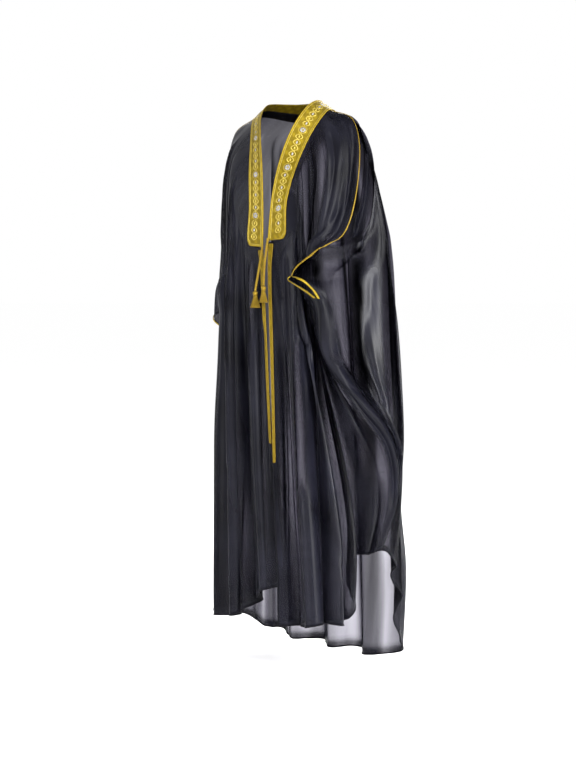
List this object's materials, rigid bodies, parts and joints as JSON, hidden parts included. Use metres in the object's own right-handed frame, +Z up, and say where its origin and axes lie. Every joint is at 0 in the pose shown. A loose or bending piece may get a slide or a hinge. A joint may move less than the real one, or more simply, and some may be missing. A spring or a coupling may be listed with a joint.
{
  "type": "jubba, open cloak of the bisht kind",
  "caption": "Long sheer black open cloak in its worn hollow form, with wide embroidered gold bands down the front, gold piping, edged hand openings and two tasselled cords.",
  "frame": {"origin": "middle of the wearer's shoulder line, at the height of the top of the shoulders, in the hollow of the garment", "axes": "+Z up, -Y the open front, +X the wearer's left"},
  "size_m": [0.6182, 0.4325, 1.5587],
  "materials": {
    "sheer_cloth": "sheer, matt",
    "gold_band": "metallic thread, satin",
    "gold_trim": "metallic braid, satin",
    "gold_cord": "twisted metallic thread"
  },
  "bodies": {
    "root": {"front_right": "sheer_cloth", "back": "sheer_cloth", "front_left": "sheer_cloth", "band_right": "gold_band", "band_back": "gold_band", "band_left": "gold_band", "strip_right": "gold_trim", "strip_left": "gold_trim", "piping_right": "gold_trim", "piping_left": "gold_trim", "cuff_right_front": "gold_trim", "cuff_right_back": "gold_trim", "cuff_left_front": "gold_trim", "cuff_left_back": "gold_trim", "cord_right": "gold_cord", "tassel_right": "gold_cord", "cord_left": "gold_cord", "tassel_left": "gold_cord"}
  },
  "joints": []
}
